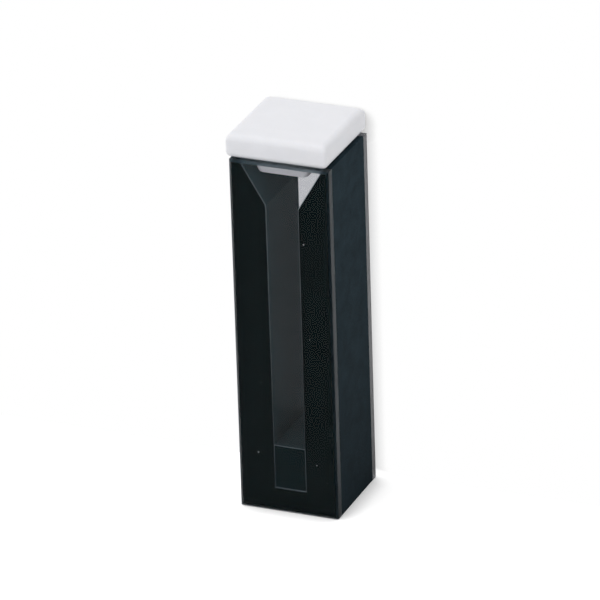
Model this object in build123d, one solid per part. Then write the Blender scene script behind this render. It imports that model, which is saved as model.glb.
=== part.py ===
from build123d import *

import math
import os

# Semi-micro cuvette for a photometer: two clear windows, two black side walls and a black
# floor fused into a square cell with a narrow chamber, closed by a loose white lid.
#
# Frame: the origin is the centre of the underside, +Z runs up the cell, and light passes
# along Y, in through the front window (-Y) and out through the rear window (+Y).
# All sizes are millimetres.

# ---- Cell ------------------------------------------------------------------------------
cell_side = 12.5          # outside width of the square cell
cell_height = 45.0        # underside to rim
window_thickness = 1.25   # clear plates, front and rear
window_bevel = 0.25       # ground bevel around the outer face of each window
chamber_width = 4.0       # slot between the side walls, across the light
floor_thickness = 8.3     # solid foot under the chamber

# ---- Mouth: the side walls are cut away inside the rim, so the slot opens as a V --------
mouth_width = 10.7        # at the rim
mouth_depth = 5.6         # rim down to where the slot becomes parallel

# ---- Lid -------------------------------------------------------------------------------
lid_overhang = 0.1        # lid edge past the cell edge, each side, when centred
lid_thickness = 3.0       # slab above the rim
lid_corner_radius = 0.4   # upright corners
lid_top_round = 0.9       # upper edge
lid_under_round = 0.7     # lower edge
lid_offset_x = -0.45      # the lid was set down a little off centre
lid_offset_y = 0.5

# ---- Plug: the tapered boss under the lid that keeps it in the mouth ---------------------
plug_depth = 2.2          # below the rim
plug_clearance = 1.0      # gap to the walls and windows at the tip, when centred
plug_draft = 26.0         # degrees, each side face against the upright
plug_corner_radius = 0.6  # upright edges of the boss

# ---- Sizes that follow -------------------------------------------------------------------
light_path = cell_side - 2 * window_thickness
mouth_slope = (mouth_width - chamber_width) / 2 / mouth_depth
mouth_width_at_tip = mouth_width - 2 * mouth_slope * plug_depth
plug_tip_width = mouth_width_at_tip - 2 * plug_clearance
plug_root_width = plug_tip_width + 2 * plug_depth * math.tan(math.radians(plug_draft))
plug_length = light_path - 2 * plug_clearance
lid_side = cell_side + 2 * lid_overhang


def window(side):
    """Clear plate across the front (side -1) or the rear (side +1), bevelled outside."""
    centre_y = side * (cell_side - window_thickness) / 2
    plate = Pos(0, centre_y, cell_height / 2) * Box(cell_side, window_thickness, cell_height)
    outer_face = plate.faces().sort_by(Axis.Y)[-1 if side > 0 else 0]
    return chamfer(outer_face.edges(), window_bevel)


def side_wall(side):
    """Black wall between the windows, left (side -1) or right (side +1), cut to the V."""
    outer = side * cell_side / 2
    inner = side * chamber_width / 2
    lip = side * mouth_width / 2
    outline = Polyline(
        (outer, 0),
        (inner, 0),
        (inner, cell_height - mouth_depth),
        (lip, cell_height),
        (outer, cell_height),
        close=True,
    )
    section = Plane.XZ * make_face(outline)
    return extrude(section, light_path / 2, both=True)


def chamber_floor():
    """Black block that fills the foot of the slot."""
    return Pos(0, 0, floor_thickness / 2) * Box(chamber_width, light_path, floor_thickness)


def lid_slab():
    """Rounded square plate that rests on the rim."""
    outline = RectangleRounded(lid_side, lid_side, lid_corner_radius)
    slab = extrude(outline, lid_thickness)
    slab = fillet(slab.faces().sort_by(Axis.Z)[-1].edges(), lid_top_round)
    return fillet(slab.faces().sort_by(Axis.Z)[0].edges(), lid_under_round)


def lid_plug():
    """Boss under the slab: upright front and rear, side faces drawn in towards the tip."""
    outline = Polyline(
        (-plug_root_width / 2, 0),
        (-plug_tip_width / 2, -plug_depth),
        (plug_tip_width / 2, -plug_depth),
        (plug_root_width / 2, 0),
        close=True,
    )
    boss = extrude(Plane.XZ * make_face(outline), plug_length / 2, both=True)
    upright_edges = boss.edges().filter_by(lambda edge: abs(edge.center().X) > 0.1
                                           and abs(edge.center().Y) > 0.1)
    return fillet(upright_edges, plug_corner_radius)


def lid():
    """Slab and boss turned from one block, lying on the rim."""
    return Pos(lid_offset_x, lid_offset_y, cell_height) * (lid_slab() + lid_plug())


def save(shape, name):
    """Write one sub-part under its own name."""
    shape.label = name
    export_step(shape, f"parts/{name}.step")


os.makedirs("parts", exist_ok=True)
save(window(-1), "front_window")
save(window(+1), "rear_window")
save(side_wall(-1), "left_wall")
save(side_wall(+1), "right_wall")
save(chamber_floor(), "chamber_floor")
save(lid(), "lid")
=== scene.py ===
import math

import bmesh
import bpy
from bpy.props import FloatProperty, FloatVectorProperty, IntProperty, PointerProperty
from mathutils import Matrix, Vector


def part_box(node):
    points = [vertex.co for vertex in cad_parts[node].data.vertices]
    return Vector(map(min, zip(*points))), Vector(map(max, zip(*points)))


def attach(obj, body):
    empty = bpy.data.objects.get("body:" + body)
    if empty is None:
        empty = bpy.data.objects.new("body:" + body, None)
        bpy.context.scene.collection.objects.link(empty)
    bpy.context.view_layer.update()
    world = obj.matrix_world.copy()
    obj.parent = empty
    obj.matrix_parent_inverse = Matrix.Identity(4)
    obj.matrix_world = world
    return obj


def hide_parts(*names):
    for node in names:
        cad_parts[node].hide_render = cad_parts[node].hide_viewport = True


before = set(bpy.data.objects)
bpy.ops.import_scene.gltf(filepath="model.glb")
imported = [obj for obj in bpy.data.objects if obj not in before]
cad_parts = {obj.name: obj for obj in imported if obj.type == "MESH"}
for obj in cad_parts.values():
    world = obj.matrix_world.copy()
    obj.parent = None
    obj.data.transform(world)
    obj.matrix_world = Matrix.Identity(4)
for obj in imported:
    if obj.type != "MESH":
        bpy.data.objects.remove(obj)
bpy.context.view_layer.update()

bl_info = {
    "name": "Semi-micro cuvette",
    "version": (1, 0, 0),
    "blender": (4, 5, 0),
    "location": "3D View > Sidebar > Cuvette",
    "description": "Glass plates, black walls, white lid and a plain stage for a photometer cell",
    "category": "Add Mesh",
}

MM = 0.001
SAME_PLACE = 1e-6            # metres; points nearer than this count as level

# Material slots of the window pieces, then of the black pieces.
POLISHED, GROUND_EDGE = 0, 1
BONDED, CHAMBER, GROUND, ARRIS, INSERT = 0, 1, 2, 3, 4

SILICA_IOR = 1.46
# The front edge's gloss is dimmed and bluish: painted shade, a darker copy of the rear edge's gloss.
FRONT_EDGE_SHADED_GLOSS = (0.14, 0.26, 0.34)
REAR_EDGE_GLOSS = (0.9, 0.9, 0.95)

ARC_STEPS = 10               # steps round a quarter circle of the lid
LID_SMOOTH_ANGLE = math.radians(35)
BUBBLE_SMOOTH_ANGLE = math.radians(80)
BUBBLE_FLATNESS = 0.35       # thickness of a bubble against its width
SMALLEST_BUBBLE = 0.45       # against the largest
SEAM_MARGIN = 0.4 * MM       # the seams' edges that stay free of bubbles
PLUG_ROOT_IN_SLAB = 0.3 * MM
PLUG_ROOT_ROUND = 0.01 * MM

SHEET_REACH = 3.0            # the paper's half width, metres
FLOOR_DROP = 0.02 * MM
CARD_GAP = 0.05 * MM         # behind the lid
FLOOR_OPEN_SIDE = (-0.35, 0.5, 0.8)
CARD_OPEN_SIDE = (-0.7, -0.8, 0.9)
LAMP_SIDE = (-0.35, -0.25, 1.0)
LAMP_ANGLE = math.radians(40)
SENSOR_WIDTH = 36            # millimetres, as Blender counts it


# ---- Sizes read from the frame ------------------------------------------------------------

def node_box(name):
    """Lowest and highest corner of a frame node."""
    low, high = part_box(name)
    return Vector(low), Vector(high)


def mouth_profile():
    """Half widths of the chamber and of the mouth at the rim, and the height where the V starts."""
    points = [vertex.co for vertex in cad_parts["right_wall"].data.vertices]
    chamber_half = min(point.x for point in points)
    rim_height = max(point.z for point in points)
    mouth_foot = max(point.z for point in points if point.x < chamber_half + SAME_PLACE)
    mouth_half = min(point.x for point in points if point.z > rim_height - SAME_PLACE)
    return chamber_half, mouth_half, mouth_foot


def plug_tip():
    """Lowest and highest corner of the flat tip of the plug under the lid."""
    tip = [vertex.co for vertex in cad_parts["lid"].data.vertices
           if vertex.co.z < LID_LOW.z + SAME_PLACE]
    low = Vector([min(point[axis] for point in tip) for axis in range(3)])
    high = Vector([max(point[axis] for point in tip) for axis in range(3)])
    return low, high


CELL_LOW = node_box("front_window")[0]
CELL_HIGH = node_box("rear_window")[1]
FRONT_SEAM = node_box("front_window")[1].y
REAR_SEAM = node_box("rear_window")[0].y
FLOOR_TOP = node_box("chamber_floor")[1].z
CHAMBER_HALF, MOUTH_HALF, MOUTH_FOOT = mouth_profile()
LID_LOW, LID_HIGH = node_box("lid")
PLUG_LOW, PLUG_HIGH = plug_tip()


# ---- Settings a user would change -----------------------------------------------------------

class CuvetteSizes(bpy.types.PropertyGroup):
    window_bevel: FloatProperty(
        name="Window bevel", description="Ground bevel round the outer face of a window",
        default=0.25 * MM, min=0.0, unit="LENGTH", precision=5)
    arris: FloatProperty(
        name="Arris", description="Fine ground bevel along the edges of the chamber",
        default=0.16 * MM, min=0.0, unit="LENGTH", precision=5)
    base_height: FloatProperty(
        name="Base height", description="Underside to the joint between base and insert block",
        default=2.7 * MM, min=0.0, unit="LENGTH", precision=5)
    joint_width: FloatProperty(
        name="Joint half width", description="Half the width of the ground joint over the base",
        default=0.06 * MM, min=0.0, unit="LENGTH", precision=5)
    seam: FloatProperty(
        name="Seam", description="How far the black glass reaches into the windows",
        default=0.02 * MM, min=0.0, unit="LENGTH", precision=5)
    lid_gap: FloatProperty(
        name="Lid gap", description="Air between the rim and the underside of the lid",
        default=0.02 * MM, min=0.0, unit="LENGTH", precision=5)
    lid_corner: FloatProperty(
        name="Lid corner", description="Radius of the lid's upright corners",
        default=0.4 * MM, min=0.0, unit="LENGTH", precision=5)
    lid_top: FloatProperty(
        name="Lid top rounding", description="Radius of the lid's upper edge",
        default=0.9 * MM, min=0.0, unit="LENGTH", precision=5)
    lid_under: FloatProperty(
        name="Lid under rounding", description="Radius of the lid's lower edge",
        default=0.7 * MM, min=0.0, unit="LENGTH", precision=5)
    plug_corner: FloatProperty(
        name="Plug corner", description="Radius of the plug's upright corners",
        default=0.6 * MM, min=0.0, unit="LENGTH", precision=5)
    plug_tip_round: FloatProperty(
        name="Plug tip rounding", description="Radius of the edge round the plug's tip",
        default=0.25 * MM, min=0.0, unit="LENGTH", precision=5)
    plug_lean: FloatProperty(
        name="Plug lean", description="Lean of the plug's left and right faces",
        default=math.radians(26), subtype="ANGLE", unit="ROTATION")
    bubble_radius: FloatProperty(
        name="Bubble", description="Largest radius of a bubble caught in a fused seam",
        default=0.1 * MM, min=0.0, unit="LENGTH", precision=6)
    bubble_density: FloatProperty(
        name="Bubbles", description="Bubbles per square metre of fused seam",
        default=2.4e4, min=0.0)
    bubble_seed: IntProperty(
        name="Bubble seed", description="Picks where the bubbles lie", default=5, min=0)


class CuvetteColours(bpy.types.PropertyGroup):
    clear: FloatVectorProperty(
        name="Clear glass", description="Tint of the windows",
        subtype="COLOR", size=3, min=0, max=1, default=(0.93, 0.935, 0.95))
    # Painted shade: the rear window's grey tint darkens what is seen through the chamber.
    rear: FloatVectorProperty(
        name="Rear glass", description="Tint of the rear window, which is seen through the chamber",
        subtype="COLOR", size=3, min=0, max=1, default=(0.525, 0.53, 0.55))
    # Painted shade: the front ground edge is a darker, bluish copy of the rear one.
    front_edge_painted_shade: FloatVectorProperty(
        name="Front ground edge", description="Tint of the front window's ground edges",
        subtype="COLOR", size=3, min=0, max=1, default=(0.45, 0.56, 0.63))
    rear_edge: FloatVectorProperty(
        name="Rear ground edge", description="Tint of the rear window's ground edges",
        subtype="COLOR", size=3, min=0, max=1, default=(0.69, 0.71, 0.76))
    black: FloatVectorProperty(
        name="Black glass", description="Body colour of the walls and the floor",
        subtype="COLOR", size=3, min=0, max=1, default=(0.0018, 0.0064, 0.0074))
    insert: FloatVectorProperty(
        name="Insert block", description="Black glass of the block in the foot of the chamber",
        subtype="COLOR", size=3, min=0, max=1, default=(0.0042, 0.0135, 0.0165))
    # Painted reflection: the chamber glass is far paler than the black body, standing in for what
    # its polished faces reflect.
    chamber: FloatVectorProperty(
        name="Chamber glass", description="Black glass towards the chamber",
        subtype="COLOR", size=3, min=0, max=1, default=(0.047, 0.086, 0.100))
    ground: FloatVectorProperty(
        name="Ground black", description="Black glass where it is ground matt",
        subtype="COLOR", size=3, min=0, max=1, default=(0.015, 0.0265, 0.034))
    # Painted highlight: the arris is far paler than the ground black faces.
    arris: FloatVectorProperty(
        name="Ground arris", description="Fine ground bevel of the black glass",
        subtype="COLOR", size=3, min=0, max=1, default=(0.19, 0.235, 0.265))
    lid: FloatVectorProperty(
        name="Lid", description="Waxy white of the lid",
        subtype="COLOR", size=3, min=0, max=1, default=(0.845, 0.850, 0.885))
    # Painted light: the plug's white is paler than the lid's, making up for the little light that
    # reaches it behind the glass.
    plug: FloatVectorProperty(
        name="Plug", description="White of the thinner plug under the lid",
        subtype="COLOR", size=3, min=0, max=1, default=(0.93, 0.915, 0.95))
    bubble: FloatVectorProperty(
        name="Bubble", description="Pale grey of the bubbles in the seams",
        subtype="COLOR", size=3, min=0, max=1, default=(0.42, 0.46, 0.50))


class CuvetteStage(bpy.types.PropertyGroup):
    azimuth: FloatProperty(
        name="Azimuth", description="Camera's turn to the right of the front window",
        default=math.radians(22.87), subtype="ANGLE", unit="ROTATION")
    elevation: FloatProperty(
        name="Elevation", description="Camera's height above the horizon",
        default=math.radians(24.81), subtype="ANGLE", unit="ROTATION")
    roll: FloatProperty(
        name="Roll", description="Camera's turn about its own axis",
        default=math.radians(-1.83), subtype="ANGLE", unit="ROTATION")
    distance: FloatProperty(
        name="Distance", description="Camera to the middle of the cell",
        default=776 * MM, unit="LENGTH")
    lens: FloatProperty(
        name="Lens", description="Focal length on a 36 mm sensor, in millimetres",
        default=393.3)
    aim_across: FloatProperty(
        name="Aim across", description="View's centre to the right of the middle of the cell",
        default=-0.42 * MM, unit="LENGTH", precision=5)
    aim_up: FloatProperty(
        name="Aim up", description="View's centre above the middle of the cell",
        default=2.39 * MM, unit="LENGTH", precision=5)
    ambient: FloatProperty(
        name="Ambient", description="Strength of the even light from all round",
        default=0.80, min=0.0)
    key: FloatProperty(
        name="Key", description="Strength of the soft overhead lamp",
        default=1.1, min=0.0)
    contact_reach: FloatProperty(
        name="Contact reach", description="Width of the contact shadow on the paper",
        default=2.2 * MM, unit="LENGTH", precision=5)


class CuvetteSettings(bpy.types.PropertyGroup):
    sizes: PointerProperty(type=CuvetteSizes)
    colours: PointerProperty(type=CuvetteColours)
    stage: PointerProperty(type=CuvetteStage)


# ---- Node helpers ------------------------------------------------------------------------

def put(tree, kind, inputs=(), **properties):
    """A node of that kind. An input is a value, or another node's output to be linked."""
    node = tree.nodes.new(kind)
    for name, value in properties.items():
        setattr(node, name, value)
    for key, value in dict(inputs).items():
        socket = node.inputs[key]
        if isinstance(value, bpy.types.NodeSocket):
            tree.links.new(value, socket)
        else:
            socket.default_value = value
    return node


def calculate(tree, operation, *values):
    """Output of a maths node."""
    node = put(tree, "ShaderNodeMath", dict(enumerate(values)), operation=operation)
    return node.outputs[0]


def span(tree, value, from_low, from_high, to_low, to_high):
    """Output of a clamped Map Range node."""
    node = put(tree, "ShaderNodeMapRange", {
        "Value": value, "From Min": from_low, "From Max": from_high,
        "To Min": to_low, "To Max": to_high})
    return node.outputs["Result"]


def scaled_colour(tree, colour, amount):
    """A colour times a value that changes over the surface."""
    node = put(tree, "ShaderNodeVectorMath", operation="SCALE")
    node.inputs[0].default_value = colour
    tree.links.new(amount, node.inputs["Scale"])
    return node.outputs["Vector"]


def open_group(name, kind, inputs, outputs):
    """An empty node group with named sockets: (tree, its input node, its output node)."""
    tree = bpy.data.node_groups.new(name, kind)
    for label, socket_type, default in inputs:
        socket = tree.interface.new_socket(label, in_out="INPUT", socket_type=socket_type)
        if default is not None:
            socket.default_value = default
    for label, socket_type in outputs:
        tree.interface.new_socket(label, in_out="OUTPUT", socket_type=socket_type)
    entry = put(tree, "NodeGroupInput")
    result = put(tree, "NodeGroupOutput")
    return tree, entry.outputs, result.inputs


# ---- Shared surface effects ------------------------------------------------------------------

def ground_grain_group():
    """Grain of a ground or moulded surface: a height for bump and a shade about 1."""
    tree, entry, result = open_group(
        "ground_grain", "ShaderNodeTree",
        [("Vector", "NodeSocketVector", None), ("Grains", "NodeSocketFloat", 6.0),
         ("Contrast", "NodeSocketFloat", 0.1), ("Mottle", "NodeSocketFloat", 0.1)],
        [("Height", "NodeSocketFloat"), ("Shade", "NodeSocketFloat")])
    fine = put(tree, "ShaderNodeTexNoise", {
        "Vector": entry["Vector"], "Scale": entry["Grains"], "Detail": 3.0, "Roughness": 0.6})
    pits = put(tree, "ShaderNodeTexVoronoi", {"Vector": entry["Vector"], "Scale": entry["Grains"]})
    cloud = put(tree, "ShaderNodeTexNoise", {
        "Vector": entry["Vector"], "Scale": 0.45, "Detail": 4.0, "Distortion": 0.6})
    height = calculate(tree, "MULTIPLY_ADD", pits.outputs["Distance"], 0.4, fine.outputs["Fac"])
    fine_shade = calculate(tree, "MULTIPLY", calculate(tree, "SUBTRACT", fine.outputs["Fac"], 0.5),
                           entry["Contrast"])
    cloud_shade = calculate(tree, "MULTIPLY", calculate(tree, "SUBTRACT", cloud.outputs["Fac"], 0.5),
                            entry["Mottle"])
    shade = calculate(tree, "ADD", calculate(tree, "ADD", fine_shade, cloud_shade), 1.0)
    tree.links.new(height, result["Height"])
    tree.links.new(shade, result["Shade"])
    return tree


def handling_group():
    """Faint wipe streaks and finger marks on polished faces: a mask from 0 to 1."""
    tree, entry, result = open_group(
        "handling_marks", "ShaderNodeTree",
        [("Vector", "NodeSocketVector", None), ("Spread", "NodeSocketFloat", 0.5)],
        [("Mark", "NodeSocketFloat")])
    stretch = put(tree, "ShaderNodeMapping", {
        "Vector": entry["Vector"], "Rotation": (0.0, 0.35, 0.0), "Scale": (2.2, 2.2, 0.18)})
    streak = put(tree, "ShaderNodeTexNoise", {
        "Vector": stretch.outputs["Vector"], "Scale": 1.0, "Detail": 5.0, "Roughness": 0.65})
    print_patch = put(tree, "ShaderNodeTexNoise", {
        "Vector": entry["Vector"], "Scale": 0.16, "Detail": 2.0, "Distortion": 1.2})
    patch_mask = span(tree, print_patch.outputs["Fac"], 0.48, 0.66, 0.0, 1.0)
    streak_mask = span(tree, streak.outputs["Fac"], 0.42, 0.72, 0.0, 1.0)
    both = calculate(tree, "MULTIPLY", patch_mask, streak_mask)
    tree.links.new(calculate(tree, "MULTIPLY", both, entry["Spread"]), result["Mark"])
    return tree


def shared_group(name):
    """The shared effect of that name, built on first use."""
    makers = {"ground_grain": ground_grain_group, "handling_marks": handling_group}
    return bpy.data.node_groups.get(name) or makers[name]()


def surface_material(name, **constants):
    """A material with one Principled shader and its constant sockets: (material, tree, shader)."""
    material = bpy.data.materials.new(name)
    material.use_nodes = True
    tree = material.node_tree
    tree.nodes.clear()
    shader = put(tree, "ShaderNodeBsdfPrincipled",
                 {key.replace("_", " "): value for key, value in constants.items()})
    put(tree, "ShaderNodeOutputMaterial", {"Surface": shader.outputs["BSDF"]})
    return material, tree, shader


def millimetres(tree):
    """Object coordinates in millimetres."""
    place = put(tree, "ShaderNodeTexCoord")
    scale = put(tree, "ShaderNodeMapping", {
        "Vector": place.outputs["Object"], "Scale": (1 / MM, 1 / MM, 1 / MM)})
    return scale.outputs["Vector"]


def grain(tree, grains, contrast, mottle):
    """The ground_grain effect in this material: (height, shade)."""
    node = put(tree, "ShaderNodeGroup", node_tree=shared_group("ground_grain"))
    tree.links.new(millimetres(tree), node.inputs["Vector"])
    node.inputs["Grains"].default_value = grains
    node.inputs["Contrast"].default_value = contrast
    node.inputs["Mottle"].default_value = mottle
    return node.outputs["Height"], node.outputs["Shade"]


def handling(tree, spread):
    """The handling_marks effect in this material: its mask."""
    node = put(tree, "ShaderNodeGroup", node_tree=shared_group("handling_marks"))
    tree.links.new(millimetres(tree), node.inputs["Vector"])
    node.inputs["Spread"].default_value = spread
    return node.outputs["Mark"]


def add_bump(tree, shader, height, depth):
    """Give the shader a bump of that depth in metres."""
    bump = put(tree, "ShaderNodeBump", {"Height": height, "Distance": depth, "Strength": 1.0})
    tree.links.new(bump.outputs["Normal"], shader.inputs["Normal"])


def grain_roughness(tree, shader, height, fine, coarse):
    """Let the roughness follow the height of the grain."""
    tree.links.new(span(tree, height, 0.3, 1.0, fine, coarse), shader.inputs["Roughness"])


def painted_foot_shade(tree, at_foot, at_rim):
    """Painted shade: a value that rises from the foot of the cell to its rim, so colours scaled by
    it darken towards the foot.
    """
    axes = put(tree, "ShaderNodeSeparateXYZ", {"Vector": millimetres(tree)})
    return span(tree, axes.outputs["Z"], CELL_LOW.z / MM, CELL_HIGH.z / MM, at_foot, at_rim)


# ---- Materials -----------------------------------------------------------------------------

def clear_glass(name, tint):
    """Polished window faces, with faint wipe marks. The low specular tint dims their reflections as
    painted shade; the tint handed in for the rear window is painted shade too.
    """
    material, tree, shader = surface_material(
        name, Transmission_Weight=1.0, IOR=SILICA_IOR, Roughness=0.0,
        Specular_Tint=(0.15, 0.15, 0.15, 1.0))
    mark = handling(tree, 0.6)
    colour = scaled_colour(tree, tint, span(tree, mark, 0.0, 1.0, 1.0, 0.9))
    tree.links.new(colour, shader.inputs["Base Color"])
    return material


def frosted_glass(name, tint, gloss):
    """Ground narrow edges of the windows, with painted shade that darkens them towards the foot."""
    material, tree, shader = surface_material(
        name, Transmission_Weight=1.0, IOR=SILICA_IOR, Specular_Tint=(*gloss, 1.0))
    height, shade = grain(tree, 7.0, 0.35, 0.25)
    # Painted shade: the edge colour falls to 0.72 at the foot.
    full = calculate(tree, "MULTIPLY", shade, painted_foot_shade(tree, 0.72, 1.0))
    tree.links.new(scaled_colour(tree, tint, full), shader.inputs["Base Color"])
    grain_roughness(tree, shader, height, 0.36, 0.52)
    add_bump(tree, shader, height, 0.008 * MM)
    return material


def black_bonded(name, black):
    """Black glass seen through a fused window, with no surface of its own to reflect."""
    material, tree, shader = surface_material(
        name, Roughness=1.0, Specular_IOR_Level=0.0)
    shade = grain(tree, 1.6, 0.5, 0.5)[1]
    tree.links.new(scaled_colour(tree, black, shade), shader.inputs["Base Color"])
    return material


def black_polished(colours):
    """Black glass towards the chamber, polished, a little hazed where handled; its pale colour is a
    painted reflection.
    """
    material, tree, shader = surface_material(
        "black_glass_polished", IOR=1.06, Specular_IOR_Level=0.5)
    mark = handling(tree, 0.8)
    shade = grain(tree, 1.2, 0.25, 0.35)[1]
    tree.links.new(scaled_colour(tree, colours.chamber, shade), shader.inputs["Base Color"])
    tree.links.new(span(tree, mark, 0.0, 1.0, 0.04, 0.2), shader.inputs["Roughness"])
    return material


def black_ground(colours):
    """Matt outside of the black glass, with painted shade that darkens it towards the foot and
    painted light that brightens it towards the rim.
    """
    material, tree, shader = surface_material(
        "black_glass_ground", IOR=1.15, Specular_IOR_Level=0.12)
    height, shade = grain(tree, 5.0, 1.1, 0.9)
    # Painted shade and light: the colour goes from 0.66 at the foot to 1.18 at the rim.
    full = calculate(tree, "MULTIPLY", shade, painted_foot_shade(tree, 0.66, 1.18))
    tree.links.new(scaled_colour(tree, colours.ground, full), shader.inputs["Base Color"])
    grain_roughness(tree, shader, height, 0.5, 0.72)
    add_bump(tree, shader, height, 0.012 * MM)
    return material


def black_arris_highlight(colours):
    """Fine ground bevel of the black glass, paler than its faces: the pale colour is a painted
    highlight along the edges.
    """
    material, tree, shader = surface_material(
        "black_glass_arris_highlight", IOR=1.2, Specular_IOR_Level=0.3)
    height, shade = grain(tree, 5.0, 0.7, 0.5)
    tree.links.new(scaled_colour(tree, colours.arris, shade), shader.inputs["Base Color"])
    grain_roughness(tree, shader, height, 0.45, 0.65)
    return material


def white_lid(name, white):
    """Waxy white of the lid."""
    material, tree, shader = surface_material(
        name, IOR=1.35, Specular_IOR_Level=0.4, Subsurface_Weight=0.35,
        Subsurface_Radius=(1.0, 0.95, 0.9), Subsurface_Scale=0.6 * MM)
    height, shade = grain(tree, 3.5, 0.03, 0.06)
    tree.links.new(scaled_colour(tree, white, shade), shader.inputs["Base Color"])
    grain_roughness(tree, shader, height, 0.42, 0.6)
    add_bump(tree, shader, height, 0.006 * MM)
    return material


def seam_bubble(colours):
    """Bubbles caught in the fused seams."""
    material, tree, shader = surface_material("seam_bubble_grey", Roughness=0.5, IOR=1.3)
    shade = grain(tree, 9.0, 0.8, 0.6)[1]
    tree.links.new(scaled_colour(tree, colours.bubble, shade), shader.inputs["Base Color"])
    return material


# ---- Rule-made shapes ------------------------------------------------------------------------

def rounded_block_tree(arc_steps):
    """Geometry nodes for a block on a rounded rectangle, its lower and upper edges rounded.

    An upright line whose points are spaced by the two arcs carries the outline, drawn in at
    each point by the arc's inset. The left and right faces may lean outwards as they rise.
    """
    tree, entry, result = open_group(
        "rounded_block", "GeometryNodeTree",
        [("Width", "NodeSocketFloat", None), ("Depth", "NodeSocketFloat", None),
         ("Height", "NodeSocketFloat", None), ("Corner Radius", "NodeSocketFloat", None),
         ("Under Radius", "NodeSocketFloat", None), ("Top Radius", "NodeSocketFloat", None),
         ("Lean", "NodeSocketFloat", None), ("Place", "NodeSocketVector", None),
         ("Material", "NodeSocketMaterial", None)],
        [("Geometry", "NodeSocketGeometry")])
    outline = put(tree, "GeometryNodeCurvePrimitiveQuadrilateral", {
        "Width": entry["Width"], "Height": entry["Depth"]}, mode="RECTANGLE")
    corners = put(tree, "GeometryNodeFilletCurve", {
        "Curve": outline.outputs["Curve"], "Radius": entry["Corner Radius"]}, mode="POLY")
    corners.inputs["Count"].default_value = arc_steps
    line = put(tree, "GeometryNodeCurvePrimitiveLine")
    path = put(tree, "GeometryNodeResampleCurve", {
        "Curve": line.outputs["Curve"], "Count": 2 * arc_steps + 2}, mode="COUNT")

    index = put(tree, "GeometryNodeInputIndex").outputs["Index"]
    quarter = math.pi / 2
    under = span(tree, index, 0.0, arc_steps, 0.0, quarter)
    top = span(tree, index, arc_steps + 1.0, 2.0 * arc_steps + 1.0, 0.0, quarter)
    above = calculate(tree, "GREATER_THAN", index, arc_steps + 0.5)
    both_radii = calculate(tree, "ADD", entry["Under Radius"], entry["Top Radius"])
    straight = calculate(tree, "SUBTRACT", entry["Height"], both_radii)
    under_rise = calculate(tree, "MULTIPLY", entry["Under Radius"],
                           calculate(tree, "SUBTRACT", 1.0, calculate(tree, "COSINE", under)))
    top_rise = calculate(tree, "MULTIPLY", entry["Top Radius"], calculate(tree, "SINE", top))
    rise = calculate(tree, "ADD", calculate(tree, "MULTIPLY_ADD", above, straight, under_rise),
                     top_rise)
    under_inset = calculate(tree, "MULTIPLY", entry["Under Radius"],
                            calculate(tree, "SUBTRACT", 1.0, calculate(tree, "SINE", under)))
    top_inset = calculate(tree, "MULTIPLY", entry["Top Radius"],
                          calculate(tree, "SUBTRACT", 1.0, calculate(tree, "COSINE", top)))
    inset = calculate(tree, "ADD", under_inset, top_inset)
    drawn_in = calculate(tree, "DIVIDE", calculate(tree, "MULTIPLY", inset, 2.0), entry["Width"])
    upright = put(tree, "GeometryNodeSetPosition", {
        "Geometry": path.outputs["Curve"],
        "Position": put(tree, "ShaderNodeCombineXYZ", {"Z": rise}).outputs["Vector"]})
    skin = put(tree, "GeometryNodeCurveToMesh", {
        "Curve": upright.outputs["Geometry"], "Profile Curve": corners.outputs["Curve"],
        "Scale": calculate(tree, "SUBTRACT", 1.0, drawn_in), "Fill Caps": True})

    place = put(tree, "ShaderNodeSeparateXYZ", {
        "Vector": put(tree, "GeometryNodeInputPosition").outputs["Position"]})
    slant = calculate(tree, "MULTIPLY", place.outputs["Z"],
                      calculate(tree, "TANGENT", entry["Lean"]))
    sideways = calculate(tree, "MULTIPLY", slant,
                         calculate(tree, "SIGN", place.outputs["X"]))
    leaned = put(tree, "GeometryNodeSetPosition", {
        "Geometry": skin.outputs["Mesh"],
        "Offset": put(tree, "ShaderNodeCombineXYZ", {"X": sideways}).outputs["Vector"]})
    moved = put(tree, "GeometryNodeTransform", {
        "Geometry": leaned.outputs["Geometry"], "Translation": entry["Place"]})
    real = put(tree, "GeometryNodeRealizeInstances", {"Geometry": moved.outputs["Geometry"]})
    painted = put(tree, "GeometryNodeSetMaterial", {
        "Geometry": real.outputs["Geometry"], "Material": entry["Material"]})
    tree.links.new(painted.outputs["Geometry"], result["Geometry"])
    return tree


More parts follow.
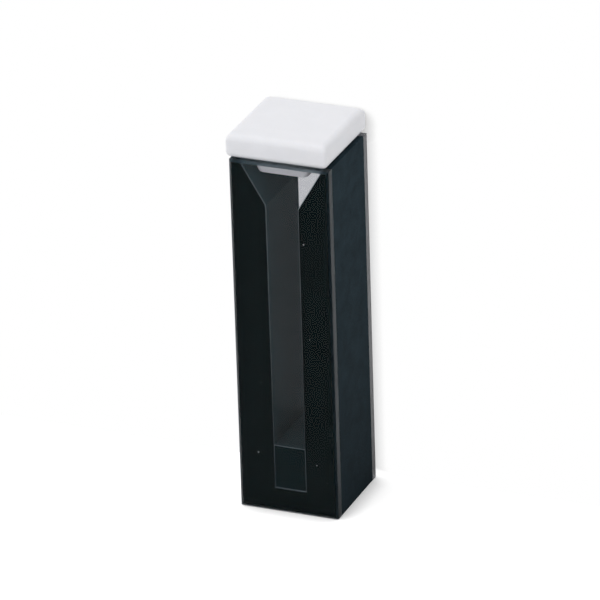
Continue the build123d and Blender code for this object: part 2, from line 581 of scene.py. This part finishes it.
def seam_bubble_tree():
    """Geometry nodes that scatter small flattened bubbles over a seam."""
    tree, entry, result = open_group(
        "seam_bubbles", "GeometryNodeTree",
        [("Seam", "NodeSocketGeometry", None), ("Density", "NodeSocketFloat", None),
         ("Radius", "NodeSocketFloat", None), ("Seed", "NodeSocketInt", None),
         ("Material", "NodeSocketMaterial", None)],
        [("Geometry", "NodeSocketGeometry")])
    points = put(tree, "GeometryNodeDistributePointsOnFaces", {
        "Mesh": entry["Seam"], "Density": entry["Density"], "Seed": entry["Seed"]},
        distribute_method="RANDOM")
    bubble = put(tree, "GeometryNodeMeshIcoSphere", {"Radius": 1.0, "Subdivisions": 2})
    size = put(tree, "FunctionNodeRandomValue", data_type="FLOAT")
    size.inputs[2].default_value = SMALLEST_BUBBLE
    size.inputs[3].default_value = 1.0
    tree.links.new(entry["Seed"], size.inputs["Seed"])
    radius = calculate(tree, "MULTIPLY", size.outputs[1], entry["Radius"])
    scale = put(tree, "ShaderNodeCombineXYZ", {
        "X": radius, "Y": calculate(tree, "MULTIPLY", radius, BUBBLE_FLATNESS), "Z": radius})
    spread = put(tree, "GeometryNodeInstanceOnPoints", {
        "Points": points.outputs["Points"], "Instance": bubble.outputs["Mesh"],
        "Scale": scale.outputs["Vector"]})
    real = put(tree, "GeometryNodeRealizeInstances", {"Geometry": spread.outputs["Instances"]})
    painted = put(tree, "GeometryNodeSetMaterial", {
        "Geometry": real.outputs["Geometry"], "Material": entry["Material"]})
    tree.links.new(painted.outputs["Geometry"], result["Geometry"])
    return tree


def grow(name, host, tree, values):
    """Run a geometry tree on a host mesh and keep the result as a plain mesh object."""
    carrier = bpy.data.objects.new(name + "_carrier", host)
    bpy.context.scene.collection.objects.link(carrier)
    modifier = carrier.modifiers.new(tree.name, "NODES")
    modifier.node_group = tree
    for item in tree.interface.items_tree:
        if item.item_type == "SOCKET" and item.name in values:
            modifier[item.identifier] = values[item.name]
    carrier.update_tag()
    bpy.context.view_layer.update()
    graph = bpy.context.evaluated_depsgraph_get()
    mesh = bpy.data.meshes.new_from_object(carrier.evaluated_get(graph), depsgraph=graph)
    mesh.name = name
    bpy.data.objects.remove(carrier)
    bpy.data.meshes.remove(host)
    piece = bpy.data.objects.new(name, mesh)
    bpy.context.scene.collection.objects.link(piece)
    return piece


def weld_and_smooth(piece, angle):
    """Close the seam lines, face outwards, and shade smooth up to that angle."""
    bm = bmesh.new()
    bm.from_mesh(piece.data)
    bmesh.ops.remove_doubles(bm, verts=bm.verts, dist=1e-7)
    bmesh.ops.recalc_face_normals(bm, faces=bm.faces)
    for face in bm.faces:
        face.smooth = True
    bm.to_mesh(piece.data)
    bm.free()
    piece.data.set_sharp_from_angle(angle=angle)
    weighted = piece.modifiers.new("flat_faces_stay_flat", "WEIGHTED_NORMAL")
    weighted.keep_sharp = True
    weighted.weight = 100


# ---- Meshes --------------------------------------------------------------------------------

def object_from(bm, name, materials):
    """Turn the working mesh into a named object that stands where its points are."""
    bmesh.ops.recalc_face_normals(bm, faces=bm.faces)
    mesh = bpy.data.meshes.new(name)
    bm.to_mesh(mesh)
    bm.free()
    for material in materials:
        mesh.materials.append(material)
    piece = bpy.data.objects.new(name, mesh)
    bpy.context.scene.collection.objects.link(piece)
    return piece


def finish_piece(piece, body, node):
    """Hand a finished piece over to the frame."""
    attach(piece, body)
    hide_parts(node)


def loft(bm, rings):
    """Skin closed rings of equal count one to the next and cap both ends."""
    loops = [[bm.verts.new(point) for point in ring] for ring in rings]
    count = len(loops[0])
    for near, far in zip(loops, loops[1:]):
        for index in range(count):
            after = (index + 1) % count
            bm.faces.new((near[index], near[after], far[after], far[index]))
    bm.faces.new(loops[0])
    bm.faces.new(loops[-1])


def window_piece(name, side, sizes, materials):
    """One clear plate: inner face flat, outer face inside a ground bevel."""
    outer = CELL_LOW.y if side < 0 else CELL_HIGH.y
    inner = FRONT_SEAM if side < 0 else REAR_SEAM
    bevel = sizes.window_bevel

    def ring(depth, inset):
        left, right = CELL_LOW.x + inset, CELL_HIGH.x - inset
        low, high = CELL_LOW.z + inset, CELL_HIGH.z - inset
        return [(left, depth, low), (right, depth, low), (right, depth, high), (left, depth, high)]

    bm = bmesh.new()
    loft(bm, [ring(inner, 0), ring(outer - side * bevel, 0), ring(outer, bevel)])
    for face in bm.faces:
        flat = all(abs(vert.co.y - face.verts[0].co.y) < 1e-7 for vert in face.verts)
        face.material_index = POLISHED if flat else GROUND_EDGE
    return object_from(bm, name, materials)


def bevel_chamber_edges(bm, width):
    """Grind a fine arris where the chamber faces meet the seams and the rim."""
    pairs = ({BONDED, CHAMBER}, {GROUND, CHAMBER})
    edges = [edge for edge in bm.edges
             if {face.material_index for face in edge.link_faces} in pairs
             and min(vert.co.z for vert in edge.verts) > CELL_LOW.z + SAME_PLACE]
    bmesh.ops.bevel(bm, geom=edges, offset=width, segments=1, affect="EDGES",
                    offset_type="WIDTH", material=ARRIS)


def wall_piece(name, side, sizes, materials):
    """One black wall: upright slab whose inner top is cut to the V of the mouth."""
    outer = CELL_HIGH.x - sizes.seam / 2
    joint = sizes.base_height
    points = [(outer, CELL_LOW.z), (CHAMBER_HALF, CELL_LOW.z), (CHAMBER_HALF, joint),
              (CHAMBER_HALF, MOUTH_FOOT), (MOUTH_HALF, CELL_HIGH.z), (outer, CELL_HIGH.z)]
    rings = [[(side * x, depth, z) for x, z in points]
             for depth in (FRONT_SEAM - sizes.seam, REAR_SEAM + sizes.seam)]
    bm = bmesh.new()
    loft(bm, rings)
    inner_limit = (MOUTH_HALF + CHAMBER_HALF) / 2 + SAME_PLACE
    for face in bm.faces:
        centre = face.calc_center_median()
        if abs(centre.y) > REAR_SEAM / 2:
            face.material_index = BONDED
        elif abs(centre.x) < inner_limit and joint < centre.z < CELL_HIGH.z - 1e-5:
            face.material_index = CHAMBER
        else:
            face.material_index = GROUND
    bevel_chamber_edges(bm, sizes.arris)
    return object_from(bm, name, materials)


def floor_piece(sizes, materials):
    """Black foot of the chamber: an insert block on a base, with a ground joint between."""
    half = CHAMBER_HALF + sizes.seam
    groove = sizes.joint_width
    joint = sizes.base_height

    def ring(height, front_inset):
        front, rear = FRONT_SEAM - sizes.seam + front_inset, REAR_SEAM + sizes.seam
        return [(-half, front, height), (half, front, height), (half, rear, height),
                (-half, rear, height)]

    bm = bmesh.new()
    loft(bm, [ring(CELL_LOW.z, 0), ring(joint - groove, 0), ring(joint, groove),
              ring(joint + groove, 0), ring(FLOOR_TOP, 0)])
    bm.normal_update()
    for face in bm.faces:
        centre = face.calc_center_median()
        if abs(centre.z - joint) < groove and abs(face.normal.z) > 0.3:
            face.material_index = ARRIS
        elif abs(centre.y) > REAR_SEAM / 2:
            face.material_index = BONDED if centre.z < joint else INSERT
        elif centre.z > FLOOR_TOP - SAME_PLACE:
            face.material_index = CHAMBER
        else:
            face.material_index = GROUND
    block_edges = [edge for edge in bm.edges
                   if {face.material_index for face in edge.link_faces} in (
                       {INSERT, CHAMBER}, {INSERT, GROUND})
                   and min(vert.co.z for vert in edge.verts) > joint]
    bmesh.ops.bevel(bm, geom=block_edges, offset=1.5 * groove, segments=1, affect="EDGES",
                    offset_type="WIDTH", material=ARRIS)
    return object_from(bm, "chamber_floor_black", materials)


def seam_faces(depth):
    """The two strips where the walls are fused to a window, as a host for the bubbles."""
    bm = bmesh.new()
    for side in (-1, 1):
        near, far = side * (CHAMBER_HALF + SEAM_MARGIN), side * (CELL_HIGH.x - SEAM_MARGIN)
        low, high = CELL_LOW.z + SEAM_MARGIN, MOUTH_FOOT - SEAM_MARGIN
        corners = [(near, depth, low), (far, depth, low), (far, depth, high), (near, depth, high)]
        bm.faces.new([bm.verts.new(corner) for corner in corners])
    mesh = bpy.data.meshes.new("seam_strips")
    bm.to_mesh(mesh)
    bm.free()
    return mesh


# ---- Operators -----------------------------------------------------------------------------

class CUVETTE_OT_windows(bpy.types.Operator):
    """Build the two clear windows"""

    bl_idname = "cuvette.windows"
    bl_label = "Build the windows"

    def execute(self, context):
        settings = context.scene.cuvette
        colours = settings.colours
        for name, side, node, tint, edge_tint, gloss in (
                # The front window's edge tint and gloss carry painted shade.
                ("front_window_glass", -1, "front_window", colours.clear, colours.front_edge_painted_shade,
                 FRONT_EDGE_SHADED_GLOSS),
                # The rear window's tint is painted shade on what is seen through it.
                ("rear_window_glass", 1, "rear_window", colours.rear, colours.rear_edge,
                 REAR_EDGE_GLOSS)):
            finish = [clear_glass(node + "_polished", tint),
                      frosted_glass(node + "_ground", edge_tint, gloss)]
            piece = window_piece(name, side, settings.sizes, finish)
            finish_piece(piece, "cell", node)
        return {"FINISHED"}


class CUVETTE_OT_walls(bpy.types.Operator):
    """Build the black walls and the chamber floor"""

    bl_idname = "cuvette.walls"
    bl_label = "Build the black walls"

    def execute(self, context):
        settings = context.scene.cuvette
        colours, sizes = settings.colours, settings.sizes
        finish = [black_bonded("black_glass_bonded", colours.black), black_polished(colours),
                  black_ground(colours), black_arris_highlight(colours)]
        for name, side, node in (("left_wall_black", -1, "left_wall"),
                                 ("right_wall_black", 1, "right_wall")):
            piece = wall_piece(name, side, sizes, finish)
            finish_piece(piece, "cell", node)
        piece = floor_piece(sizes, finish + [black_bonded("black_insert_bonded", colours.insert)])
        finish_piece(piece, "cell", "chamber_floor")
        return {"FINISHED"}


class CUVETTE_OT_bubbles(bpy.types.Operator):
    """Scatter small bubbles in the fused seams"""

    bl_idname = "cuvette.bubbles"
    bl_label = "Scatter the seam bubbles"

    def execute(self, context):
        settings = context.scene.cuvette
        sizes = settings.sizes
        tree = seam_bubble_tree()
        material = seam_bubble(settings.colours)
        clear_of_black = sizes.seam + 0.5 * sizes.bubble_radius
        for name, depth, seed in (("front_seam_bubbles", FRONT_SEAM - clear_of_black, 0),
                                  ("rear_seam_bubbles", REAR_SEAM + clear_of_black, 1)):
            piece = grow(name, seam_faces(depth), tree, {
                "Density": sizes.bubble_density, "Radius": sizes.bubble_radius,
                "Seed": sizes.bubble_seed + seed, "Material": material})
            if not piece.data.polygons:
                raise RuntimeError(name + " came out empty")
            weld_and_smooth(piece, BUBBLE_SMOOTH_ANGLE)
            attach(piece, "cell")
        return {"FINISHED"}


class CUVETTE_OT_lid(bpy.types.Operator):
    """Build the white lid: the slab on the rim and the plug under it"""

    bl_idname = "cuvette.lid"
    bl_label = "Build the lid"

    def execute(self, context):
        settings = context.scene.cuvette
        sizes = settings.sizes
        tree = rounded_block_tree(ARC_STEPS)
        colours = settings.colours
        centre = (LID_LOW + LID_HIGH) / 2
        under = CELL_HIGH.z + sizes.lid_gap
        slab = grow("lid_slab_white", bpy.data.meshes.new("block_host"), tree, {
            "Width": LID_HIGH.x - LID_LOW.x, "Depth": LID_HIGH.y - LID_LOW.y,
            "Height": LID_HIGH.z - under, "Corner Radius": sizes.lid_corner,
            "Under Radius": sizes.lid_under, "Top Radius": sizes.lid_top,
            "Place": (centre.x, centre.y, under),
            "Material": white_lid("white_lid_slab", colours.lid)})
        plug_centre = (PLUG_LOW + PLUG_HIGH) / 2
        plug = grow("lid_plug_white", bpy.data.meshes.new("block_host"), tree, {
            "Width": PLUG_HIGH.x - PLUG_LOW.x, "Depth": PLUG_HIGH.y - PLUG_LOW.y,
            "Height": under + PLUG_ROOT_IN_SLAB - LID_LOW.z, "Corner Radius": sizes.plug_corner,
            "Under Radius": sizes.plug_tip_round, "Top Radius": PLUG_ROOT_ROUND,
            "Lean": sizes.plug_lean, "Place": (plug_centre.x, plug_centre.y, LID_LOW.z),
            # The plug's paler white is painted light.
            "Material": white_lid("white_lid_plug", colours.plug)})
        for piece in (slab, plug):
            weld_and_smooth(piece, LID_SMOOTH_ANGLE)
            finish_piece(piece, "lid", "lid")
        return {"FINISHED"}


class CUVETTE_OT_stage(bpy.types.Operator):
    """Set up the paper, the light and the camera"""

    bl_idname = "cuvette.stage"
    bl_label = "Set the stage"

    def execute(self, context):
        stage = context.scene.cuvette.stage
        make_floor(stage)
        make_back_card(stage)
        make_world(context.scene, stage)
        make_lamps(context.scene, stage)
        make_camera(context.scene, stage)
        context.scene.view_settings.view_transform = "Standard"
        return {"FINISHED"}


# ---- Stage ---------------------------------------------------------------------------------

def shown_ray(tree):
    """1 for rays that show the background: straight, mirrored or through glass."""
    path = put(tree, "ShaderNodeLightPath")
    first = calculate(tree, "MAXIMUM", path.outputs["Is Camera Ray"], path.outputs["Is Glossy Ray"])
    return calculate(tree, "MAXIMUM", first, path.outputs["Is Transmission Ray"])


def contact_shadow(tree, reach, open_side):
    """1 on open paper, less where the cell stands close, towards the side the light comes from."""
    towards = put(tree, "ShaderNodeCombineXYZ", {
        "X": open_side[0], "Y": open_side[1], "Z": open_side[2]})
    unit = put(tree, "ShaderNodeVectorMath", {0: towards.outputs["Vector"]}, operation="NORMALIZE")
    contact = put(tree, "ShaderNodeAmbientOcclusion", {
        "Distance": reach, "Normal": unit.outputs["Vector"]}, samples=16)
    return contact.outputs["AO"]


def seen_from_front(tree, shader):
    """Let the paper be seen from its front only."""
    facing = put(tree, "ShaderNodeNewGeometry").outputs["Backfacing"]
    clear = put(tree, "ShaderNodeBsdfTransparent")
    mix = put(tree, "ShaderNodeMixShader", {
        "Fac": facing, 1: shader.outputs[0], 2: clear.outputs["BSDF"]})
    for node in tree.nodes:
        if node.type == "OUTPUT_MATERIAL":
            tree.links.new(mix.outputs["Shader"], node.inputs["Surface"])


def floor_paper(stage):
    """White paper that takes the cell's shadow and a contact shadow."""
    material, tree, shader = surface_material(
        "paper_floor", Base_Color=(0.9, 0.9, 0.9, 1.0), Roughness=1.0, Specular_IOR_Level=0.0,
        Emission_Color=(1.0, 1.0, 1.0, 1.0))
    contact = contact_shadow(tree, 1.4 * stage.contact_reach, FLOOR_OPEN_SIDE)
    contact = span(tree, contact, 0.15, 0.85, 0.0, 1.0)
    straight = put(tree, "ShaderNodeLightPath").outputs["Is Camera Ray"]
    lift = calculate(tree, "MULTIPLY_ADD", straight, 0.45,
                     calculate(tree, "MULTIPLY", shown_ray(tree), 0.1))
    tree.links.new(calculate(tree, "MULTIPLY", contact, lift), shader.inputs["Emission Strength"])
    seen_from_front(tree, shader)
    return material


def card_paper(stage):
    """White card that shows a contact shadow and fades into the floor at its foot."""
    material, tree, shader = surface_material(
        "paper_card", Base_Color=(0.0, 0.0, 0.0, 1.0), Roughness=1.0, Specular_IOR_Level=0.0,
        Emission_Color=(1.0, 1.0, 1.0, 1.0))
    contact = contact_shadow(tree, 0.9 * stage.contact_reach, CARD_OPEN_SIDE)
    axes = put(tree, "ShaderNodeSeparateXYZ", {"Vector": millimetres(tree)})
    foot = span(tree, axes.outputs["Z"], 0.4, 1.8, 1.0, 0.0)
    tree.links.new(calculate(tree, "MAXIMUM", span(tree, contact, 0.1, 0.82, 0.35, 1.0), foot),
                   shader.inputs["Emission Strength"])
    seen_from_front(tree, shader)
    return material


def sheet(name, corners, material):
    """One flat sheet of paper with its corners in that order."""
    bm = bmesh.new()
    bm.faces.new([bm.verts.new(corner) for corner in corners])
    mesh = bpy.data.meshes.new(name)
    bm.to_mesh(mesh)
    bm.free()
    mesh.materials.append(material)
    paper = bpy.data.objects.new(name, mesh)
    bpy.context.scene.collection.objects.link(paper)
    return paper


def make_floor(stage):
    """A wide white floor a hair under the cell."""
    reach = SHEET_REACH
    corners = [(x, y, -FLOOR_DROP)
               for x, y in ((-reach, -reach), (reach, -reach), (reach, reach), (-reach, reach))]
    floor = sheet("floor", corners, floor_paper(stage))


def make_back_card(stage):
    """A white card close behind the cell that only shows its shadow and lights nothing."""
    reach, depth = SHEET_REACH, LID_HIGH.y + CARD_GAP
    corners = [(-reach, depth, 0), (reach, depth, 0), (reach, depth, reach), (-reach, depth, reach)]
    card = sheet("back_card", corners, card_paper(stage))
    card.visible_diffuse = False
    card.visible_glossy = False
    card.visible_transmission = False
    card.visible_shadow = False


def make_world(scene, stage):
    """White where it is seen, and an even ambient light where it lights."""
    world = bpy.data.worlds.new("studio")
    scene.world = world
    world.use_nodes = True
    tree = world.node_tree
    tree.nodes.clear()
    past_paper = put(tree, "ShaderNodeLightPath").outputs["Transparent Depth"]
    shown = calculate(tree, "MAXIMUM", shown_ray(tree), past_paper)
    strength = span(tree, shown, 0.0, 1.0, stage.ambient, 1.0)
    background = put(tree, "ShaderNodeBackground", {"Strength": strength})
    put(tree, "ShaderNodeOutputWorld", {"Surface": background.outputs["Background"]})


def make_lamps(scene, stage):
    """A wide soft lamp overhead, a little to the left and in front."""
    lamp = bpy.data.lights.new("key_lamp", "SUN")
    lamp.energy = stage.key
    lamp.angle = LAMP_ANGLE
    key = bpy.data.objects.new("key_lamp", lamp)
    key.rotation_mode = "QUATERNION"
    key.rotation_quaternion = Vector(LAMP_SIDE).to_track_quat("Z", "Y")
    scene.collection.objects.link(key)


def make_camera(scene, stage):
    """Long lens from the front right and above."""
    azimuth, elevation, roll = stage.azimuth, stage.elevation, stage.roll
    back = Vector((math.sin(azimuth) * math.cos(elevation),
                   -math.cos(azimuth) * math.cos(elevation),
                   math.sin(elevation)))
    level_right = Vector((math.cos(azimuth), math.sin(azimuth), 0))
    level_up = back.cross(level_right)
    right = level_right * math.cos(roll) + level_up * math.sin(roll)
    up = level_up * math.cos(roll) - level_right * math.sin(roll)
    middle = Vector((0, 0, (CELL_LOW.z + CELL_HIGH.z) / 2))
    place = middle + back * stage.distance + right * stage.aim_across + up * stage.aim_up
    data = bpy.data.cameras.new("camera")
    data.lens = stage.lens
    data.sensor_width = SENSOR_WIDTH
    data.clip_start = 0.01
    data.clip_end = 20
    camera = bpy.data.objects.new("camera", data)
    turn = Matrix((right, up, back)).transposed()
    camera.matrix_world = Matrix.Translation(place) @ turn.to_4x4()
    scene.collection.objects.link(camera)
    scene.camera = camera


class CUVETTE_PT_panel(bpy.types.Panel):
    """Lists the operators in the 3D view's sidebar"""

    bl_idname = "CUVETTE_PT_panel"
    bl_label = "Cuvette"
    bl_space_type = "VIEW_3D"
    bl_region_type = "UI"
    bl_category = "Cuvette"

    def draw(self, context):
        for operator in OPERATORS:
            self.layout.operator(operator.bl_idname)


OPERATORS = (CUVETTE_OT_windows, CUVETTE_OT_walls, CUVETTE_OT_bubbles, CUVETTE_OT_lid,
             CUVETTE_OT_stage)
CLASSES = (CuvetteSizes, CuvetteColours, CuvetteStage, CuvetteSettings, *OPERATORS,
           CUVETTE_PT_panel)


def register():
    for item in CLASSES:
        bpy.utils.register_class(item)
    bpy.types.Scene.cuvette = PointerProperty(type=CuvetteSettings)


def unregister():
    del bpy.types.Scene.cuvette
    for item in reversed(CLASSES):
        bpy.utils.unregister_class(item)


def main():
    """Register and run each operator in order."""
    register()
    bpy.ops.cuvette.windows()
    bpy.ops.cuvette.walls()
    bpy.ops.cuvette.bubbles()
    bpy.ops.cuvette.lid()
    bpy.ops.cuvette.stage()


if __name__ == "__main__":
    main()
